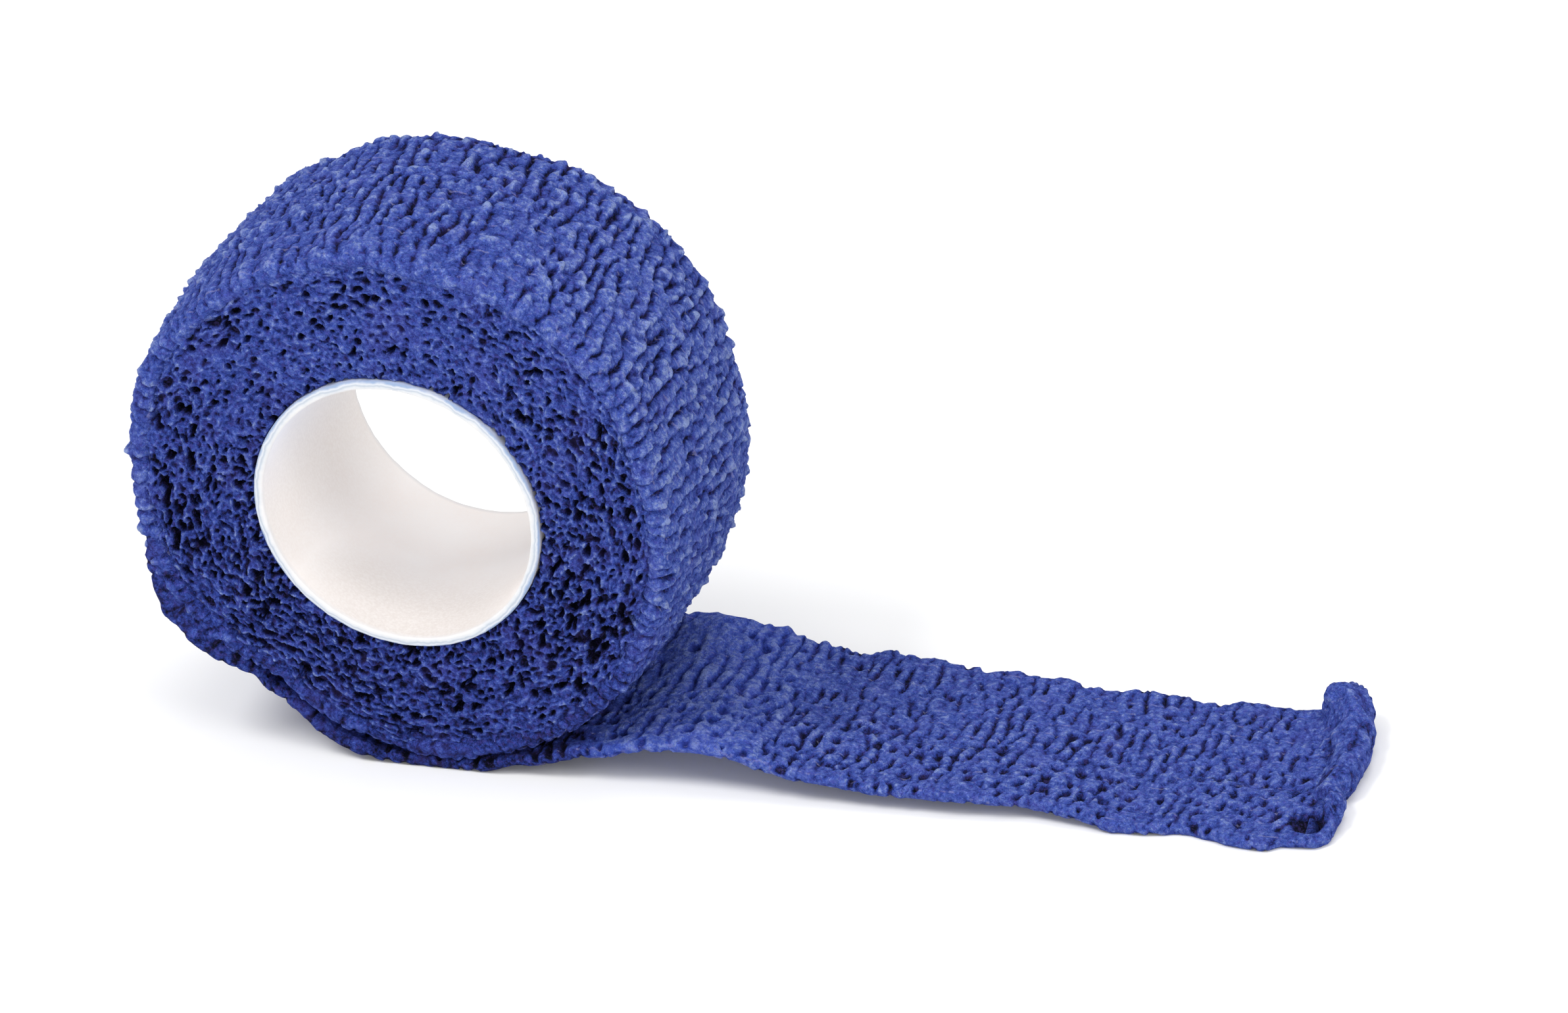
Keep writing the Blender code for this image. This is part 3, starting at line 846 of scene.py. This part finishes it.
def make_loose_end(material):
    """The slack last turn and the loose end as one closed sheet with soft edges."""
    half = 0.5 * TAPE_THICKNESS
    outer, inwards, s, height, top_tone, rounded = tape_side(closer_at_edges(TOP_ROWS), 11, 0.90)
    length = float(s[-1].mean())
    folded = smooth_step(s - s[-1:], -10.5, -8.0)
    height = (height + 0.10) * (1.0 - 0.80 * folded)
    extra = LOOSE_TURN.at(turn_of(outer), "extra")
    extra = np.where(outer[..., 0] < 0.0, extra, 0.0) * rounded
    rise = half + half * (0.25 + 0.75 * rounded) + height * rounded + extra
    upper = outer + inwards * rise[..., None]
    hollow = fold_hollow(upper)
    upper[..., 2] -= 1.0 * hollow
    # Painted shade darkens the fold's hollow.
    top_tone = top_tone * (1.0 - 0.95 * hollow) - 0.35 * hollow
    underside = tape_side(closer_at_edges(UNDER_ROWS), 12, 0.78)
    outer, inwards, s, height, under_tone, rounded = underside
    folded = smooth_step(s - s[-1:], -9.5, -6.5)
    free = np.maximum(folded, smooth_step(outer[..., 2], 1.0, 2.5))
    height = np.minimum(height, 0.10) * (1.0 - free) + (0.90 * height + 0.05) * free
    rise = half - half * (0.25 + 0.75 * rounded) - height * rounded
    lower = outer + inwards * rise[..., None]
    hollow = fold_hollow(lower) * folded
    lower[..., 2] -= 1.2 * hollow
    # Painted shade darkens the fold's hollow.
    under_tone = under_tone * (1.0 - 0.90 * hollow) - 0.30 * hollow
    upper[..., 2] = np.maximum(upper[..., 2], 0.12)
    lower[..., 2] = np.maximum(lower[..., 2], 0.0)
    ring = np.concatenate([upper, lower[:, ::-1]], axis=1)
    tone = np.concatenate([top_tone, under_tone[:, ::-1]], axis=1)
    around = ring.shape[1]
    faces = grid_faces(TAPE_STEPS, around, False, True)[:, ::-1]
    tips = np.stack([ring[0].mean(axis=0), ring[-1].mean(axis=0)])
    points = np.concatenate([ring.reshape(-1, 3), tips])
    tone = np.concatenate([tone.ravel(), [0.3, 0.3]])
    first = np.arange(around)
    after = (first + 1) % around
    last = (TAPE_STEPS - 1) * around
    start_fan = np.stack([first, after, np.full(around, len(points) - 2)], axis=1)
    end_fan = np.stack([after + last, first + last, np.full(around, len(points) - 1)], axis=1)
    x = points[:, 0]
    # Painted shade: a share of deeper blue where the roll shades the loose end.
    roll_shadow_share = smooth_step(x, 14.0, 20.0) * (1.0 - smooth_step(x, 27.0, 37.0))
    values = {"tone": tone, "threads": smooth_step(x, 8.0, 14.0), "roll_shadow_share": roll_shadow_share}
    obj = make_object("loose_end", points, faces, values, material, (start_fan, end_fan))
    return obj, length


def make_tube(material):
    """The thin tube with slightly worn, rounded lips."""
    steps = 288
    lip = 0.22
    spacing = 0.5
    half = HALF_WIDTH
    inside = CORE_RADIUS - CORE_WALL
    profile = []
    for centre_r, centre_y, first in (
        (CORE_RADIUS - lip, -half + lip, -0.5),
        (CORE_RADIUS - lip, half - lip, 0.0),
        (inside + lip, half - lip, 0.5),
        (inside + lip, -half + lip, 1.0),
    ):
        for i in range(6):
            turn = math.pi * (first + 0.5 * i / 5)
            profile.append((centre_r + lip * math.cos(turn), centre_y + lip * math.sin(turn)))
    dense = []
    for (r0, y0), (r1, y1) in zip(profile, profile[1:] + profile[:1]):
        pieces = max(1, round(math.hypot(r1 - r0, y1 - y0) / spacing))
        for k in range(pieces):
            dense.append((r0 + (r1 - r0) * k / pieces, y0 + (y1 - y0) * k / pieces))
    radius = np.array([r for r, _ in dense])[None, :]
    y = np.array([v for _, v in dense])[None, :]
    angle = np.linspace(0.0, 2 * np.pi, steps, endpoint=False)[:, None]
    around = 2 * np.pi * CORE_RADIUS
    s = angle * CORE_RADIUS
    wave = 0.035 * noise_mm(s, y, 9.0, 31, around, 2) + 0.010 * noise_mm(s, y, 1.2, 32, around, 2)
    at_lip = smooth_step(np.abs(y), half - 0.5, half)
    ragged = 0.05 * noise_mm(s, 0 * y + np.sign(y) * 5.0, 0.8, 33, around, 2) * at_lip
    points = around_axis(angle, radius + wave, y + ragged * np.sign(y))
    values = {"lip": at_lip + 0 * s, "wall": (radius - inside) / CORE_WALL + 0 * s}
    return make_object("tube", points, ring_faces(points), values, material)


# Colours mixed into the tape: its pale threads, its violet patches, and a deeper blue of painted
# shade where the roll shades the loose end.
THREAD_COLOUR = (0.310, 0.315, 0.560)
VIOLET = (0.120, 0.085, 0.400)
ROLL_SHADOW_BLUE = (0.028, 0.066, 0.480)
THREAD_PITCH = 2.1
TUFT_SIZE = 0.46
# Colours mixed into the tube: painted warm shade low down and on the left, painted cool shade high
# up, and its pale grain.
PAINTED_WARM_SHADE = (0.675, 0.620, 0.580)
PAINTED_COOL_SHADE = (0.660, 0.735, 0.900)
PALE_GRAIN = (0.92, 0.90, 0.88)


class Nodes:
    """Adds nodes to a material and links them."""

    def __init__(self, name):
        self.material = bpy.data.materials.new(name)
        self.material.use_nodes = True
        self.tree = self.material.node_tree
        self.shader = self.tree.nodes["Principled BSDF"]

    def add(self, kind, **settings):
        node = self.tree.nodes.new(kind)
        for key, value in settings.items():
            setattr(node, key, value)
        return node

    def link(self, source, target):
        self.tree.links.new(source, target)

    def feed(self, node, socket, value):
        """Sets or links one input. A colour is given without its alpha."""
        if isinstance(value, tuple):
            node.inputs[socket].default_value = (*value, 1.0)
        elif isinstance(value, (int, float)):
            node.inputs[socket].default_value = value
        else:
            self.link(value, node.inputs[socket])

    def fill(self, node, values):
        for socket, value in values.items():
            self.feed(node, socket, value)

    def millimetres(self):
        """The place on the piece in millimetres."""
        place = self.add("ShaderNodeTexCoord")
        scale = self.add("ShaderNodeVectorMath", operation="SCALE")
        self.fill(scale, {0: place.outputs["Object"], "Scale": 1.0 / MM})
        return scale.outputs["Vector"]

    def noise(self, vector, size, detail=2.0, roughness=0.5, distortion=0.0):
        node = self.add("ShaderNodeTexNoise")
        self.fill(node, {"Vector": vector, "Scale": 1.0 / size, "Detail": detail})
        self.fill(node, {"Roughness": roughness, "Distortion": distortion})
        return node.outputs["Fac"]

    def ramp(self, value, stops):
        node = self.add("ShaderNodeValToRGB")
        self.link(value, node.inputs["Fac"])
        elements = node.color_ramp.elements
        while len(elements) < len(stops):
            elements.new(0.5)
        for element, (place, colour) in zip(elements, stops):
            element.position = place
            element.color = (*colour, 1.0)
        return node.outputs["Color"]

    def span(self, value, low, high, to_low=0.0, to_high=1.0):
        node = self.add("ShaderNodeMapRange", interpolation_type="SMOOTHSTEP")
        self.fill(node, {"Value": value, "From Min": low, "From Max": high})
        self.fill(node, {"To Min": to_low, "To Max": to_high})
        return node.outputs["Result"]

    def math(self, operation, first, second=0.0):
        node = self.add("ShaderNodeMath", operation=operation)
        self.fill(node, {0: first, 1: second})
        return node.outputs["Value"]

    def mix(self, share, first, second):
        """A blend of two colours, which are inputs 6 and 7 and output 2 of the node."""
        node = self.add("ShaderNodeMix", data_type="RGBA")
        self.fill(node, {0: share, 6: first, 7: second})
        return node.outputs[2]

    def attribute(self, name):
        return self.add("ShaderNodeAttribute", attribute_name=name).outputs["Fac"]

    def bump(self, height, distance, strength):
        node = self.add("ShaderNodeBump")
        self.fill(node, {"Height": height, "Distance": distance, "Strength": strength})
        self.link(node.outputs["Normal"], self.shader.inputs["Normal"])


def crepe_material():
    """Blue felted fibres, with painted highlight on the tops of the relief and painted shade,
    nearly black, in clefts and pores.
    """
    nodes = Nodes("blue_crepe")
    place = nodes.millimetres()
    mottle = nodes.noise(place, 0.62, 3.0, 0.68, 0.6)
    fibres = nodes.noise(place, 0.30, 2.0, 0.75, 2.0)
    patches = nodes.noise(place, 3.5, 2.0, 0.5)
    tufts = nodes.add("ShaderNodeTexVoronoi", feature="F1")
    nodes.fill(tufts, {"Vector": place, "Scale": 1.0 / TUFT_SIZE})
    clumps = nodes.math("SUBTRACT", 0.48, tufts.outputs["Distance"])
    grain = nodes.math("MULTIPLY", mottle, 0.95)
    grain = nodes.math("ADD", grain, nodes.math("MULTIPLY", fibres, 0.75))
    grain = nodes.math("ADD", grain, nodes.math("MULTIPLY", clumps, 0.28))
    # The tone attribute carries painted highlight and painted shade; the grain is the fibres' own
    # mottle.
    value = nodes.math("ADD", nodes.attribute("tone"), nodes.math("SUBTRACT", grain, 0.85))
    body = nodes.ramp(value, (
        (0.00, (0.002, 0.002, 0.008)),
        (0.18, (0.010, 0.016, 0.105)),
        (0.36, (0.026, 0.048, 0.272)),
        (0.52, (0.050, 0.089, 0.400)),
        (0.68, (0.098, 0.152, 0.500)),
        (0.90, (0.250, 0.325, 0.620)),
    ))
    across = nodes.add("ShaderNodeSeparateXYZ")
    nodes.link(place, across.inputs["Vector"])
    wander = nodes.math("MULTIPLY", nodes.noise(place, 2.6, 2.0, 0.5), 0.8)
    row = nodes.math("DIVIDE", nodes.math("ADD", across.outputs["Y"], wander), THREAD_PITCH)
    row = nodes.math("FRACT", row)
    off_row = nodes.math("ABSOLUTE", nodes.math("SUBTRACT", row, 0.5))
    shows = nodes.span(nodes.noise(place, 0.9, 2.0, 0.6), 0.52, 0.62)
    thread = nodes.math("MULTIPLY", nodes.span(off_row, 0.025, 0.060, 1.0, 0.0), shows)
    faded = nodes.math("MULTIPLY", nodes.attribute("threads"), 0.42)
    body = nodes.mix(nodes.math("MULTIPLY", thread, faded), body, THREAD_COLOUR)
    violet = nodes.span(patches, 0.50, 0.75, 0.0, 0.30)
    speckle = nodes.span(nodes.noise(place, 0.42, 2.0, 0.7), 0.48, 0.66, 0.0, 0.45)
    violet = nodes.math("MAXIMUM", violet, speckle)
    body = nodes.mix(violet, body, nodes.mix(0.5, body, VIOLET))
    # Painted shade: a deeper blue where the roll shades the loose end.
    roll_shadow_share = nodes.math("MULTIPLY", nodes.attribute("roll_shadow_share"), 0.30)
    body = nodes.mix(roll_shadow_share, body, ROLL_SHADOW_BLUE)
    nodes.bump(grain, 0.42 * MM, 1.0)
    nodes.fill(nodes.shader, {
        "Base Color": body,
        "Roughness": 0.95,
        "Specular IOR Level": 0.08,
        "Sheen Weight": 0.03,
        "Sheen Roughness": 0.5,
        "Sheen Tint": (0.35, 0.45, 1.0),
    })
    return nodes.material


def tube_material():
    """Off-white card: faintly clouded, with painted warm shade low down and on the left and painted
    cool shade high up, and streaked at the cut lips, whose outer edge has a painted shadow line."""
    nodes = Nodes("white_tube")
    place = nodes.millimetres()
    grain = nodes.noise(place, 0.30, 3.0, 0.6)
    cloud = nodes.noise(place, 7.0, 2.0, 0.5)
    body = nodes.ramp(cloud, ((0.35, (0.930, 0.865, 0.820)), (0.65, (0.950, 0.905, 0.870))))
    axes = nodes.add("ShaderNodeSeparateXYZ")
    nodes.link(place, axes.inputs["Vector"])
    # Painted shade: warmer and darker low down at the front and on the left, cooler and darker high
    # up.
    low = nodes.span(axes.outputs["Z"], 14.0, 24.0, 1.0, 0.0)
    low = nodes.math("MULTIPLY", low, nodes.span(axes.outputs["Y"], -8.0, 1.5, 1.0, 0.08))
    left = nodes.span(axes.outputs["X"], -17.0, -7.0, 0.9, 0.0)
    body = nodes.mix(nodes.math("MAXIMUM", low, left), body, PAINTED_WARM_SHADE)
    high = nodes.span(axes.outputs["Z"], 24.0, 42.0, 0.0, 0.9)
    body = nodes.mix(high, body, PAINTED_COOL_SHADE)
    body = nodes.mix(nodes.span(grain, 0.3, 0.75, 0.0, 0.30), body, PALE_GRAIN)
    wall = nodes.attribute("wall")
    worn = nodes.noise(place, 2.2, 3.0, 0.6)
    worn = nodes.math("MULTIPLY", nodes.math("SUBTRACT", worn, 0.5), 0.9)
    # The lip's own streaks, with a painted shadow line of dark blue at its outer edge.
    lip_streaks_and_shadow_line = nodes.ramp(nodes.math("ADD", wall, worn), (
        (0.05, (0.70, 0.69, 0.69)),
        (0.38, (0.60, 0.62, 0.65)),
        (0.56, (0.42, 0.47, 0.54)),
        (0.72, (0.62, 0.64, 0.68)),
        (0.97, (0.26, 0.35, 0.52)),
    ))
    lip = nodes.mix(nodes.attribute("lip"), body, lip_streaks_and_shadow_line)
    nodes.bump(grain, 0.03 * MM, 0.35)
    nodes.fill(nodes.shader, {"Base Color": lip, "Roughness": 0.55, "Specular IOR Level": 0.30})
    return nodes.material


# Metres from the roll to each side of the floor.
FLOOR_REACH = 6.0
# Soft lights: name; place, target and width in metres; watts.
LIGHTS = (
    ("key", (-0.50, -0.42, 1.05), (0.02, 0.0, 0.02), 0.50, 7.5),
    ("front", (0.30, -1.10, 0.35), (0.0, 0.0, 0.03), 0.60, 2.6),
    ("right", (0.95, -0.45, 0.75), (0.02, 0.0, 0.02), 0.50, 4.2),
    ("top", (0.20, 0.35, 1.10), (0.02, 0.0, 0.02), 0.70, 3.2),
)


def make_floor():
    """A plain pale floor, which is no part of the object."""
    mesh = bpy.data.meshes.new("floor")
    signs = ((-1, -1), (1, -1), (1, 1), (-1, 1))
    corners = [(x * FLOOR_REACH, y * FLOOR_REACH, 0.0) for x, y in signs]
    mesh.from_pydata(corners, [], [(0, 1, 2, 3)])
    nodes = Nodes("pale_floor")
    paint = {"Base Color": (0.93, 0.93, 0.93), "Roughness": 0.9, "Specular IOR Level": 0.1}
    nodes.fill(nodes.shader, paint)
    mesh.materials.append(nodes.material)
    floor = bpy.data.objects.new("floor", mesh)
    bpy.context.scene.collection.objects.link(floor)


def add_area_light(name, place, target, size, watts):
    """A round soft light, turned towards its target."""
    light = bpy.data.lights.new(name, "AREA")
    light.shape = "DISK"
    light.size = size
    light.energy = watts
    obj = bpy.data.objects.new(name, light)
    obj.location = place
    obj.rotation_euler = (Vector(target) - Vector(place)).to_track_quat("-Z", "Y").to_euler()
    bpy.context.scene.collection.objects.link(obj)


def make_lights():
    """A white surrounding and the soft lights."""
    world = bpy.data.worlds.new("studio")
    world.use_nodes = True
    background = world.node_tree.nodes["Background"]
    background.inputs["Color"].default_value = (1.0, 1.0, 1.0, 1.0)
    background.inputs["Strength"].default_value = 0.70
    bpy.context.scene.world = world
    for light in LIGHTS:
        add_area_light(*light)


def make_camera():
    """The photograph's view: a long lens whose frame puts the roll's centre at its pixel."""
    right = Vector((math.cos(AZIMUTH), math.sin(AZIMUTH), 0.0))
    level = math.cos(ELEVATION)
    back = Vector((math.sin(AZIMUTH) * level, -math.cos(AZIMUTH) * level, math.sin(ELEVATION)))
    up = back.cross(right)
    turned_right = right * math.cos(CAMERA_TILT) - up * math.sin(CAMERA_TILT)
    turned_up = right * math.sin(CAMERA_TILT) + up * math.cos(CAMERA_TILT)
    roll_centre = Vector((0.0, 0.0, AXIS_HEIGHT * MM))
    metres_per_px = MM / PX_PER_MM
    left_over = (ROLL_CENTRE_PX[0] - PHOTO_WIDTH / 2) * metres_per_px
    drop = (ROLL_CENTRE_PX[1] - PHOTO_HEIGHT / 2) * metres_per_px
    distance = FOCAL_PX * metres_per_px
    data = bpy.data.cameras.new("camera")
    data.sensor_fit = "HORIZONTAL"
    data.sensor_width = SENSOR_MM
    data.lens = SENSOR_MM * FOCAL_PX / PHOTO_WIDTH
    data.clip_start = 0.01
    data.clip_end = 20.0
    camera = bpy.data.objects.new("camera", data)
    place = roll_centre - turned_right * left_over + turned_up * drop + back * distance
    rotation = Matrix((turned_right, turned_up, back)).transposed().to_4x4()
    camera.matrix_world = Matrix.Translation(place) @ rotation
    bpy.context.scene.collection.objects.link(camera)
    bpy.context.scene.camera = camera


def main():
    bpy.context.scene.view_settings.view_transform = "Standard"
    make_camera()
    make_lights()
    make_floor()
    blue = crepe_material()
    front_turns = make_outer_turns("outer_turns_front", -1, blue)
    back_turns = make_outer_turns("outer_turns_back", 1, blue)
    front = make_end_face("front_face", -1, blue, steps=1000, seed=41)
    back = make_end_face("back_face", 1, blue, steps=720, seed=151)
    tape, length = make_loose_end(blue)
    tube = make_tube(tube_material())
    for piece in (front_turns, back_turns, front, back, tape):
        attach(piece, "root")
        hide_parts("bandage")
    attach(tube, "root")
    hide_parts("core")


main()
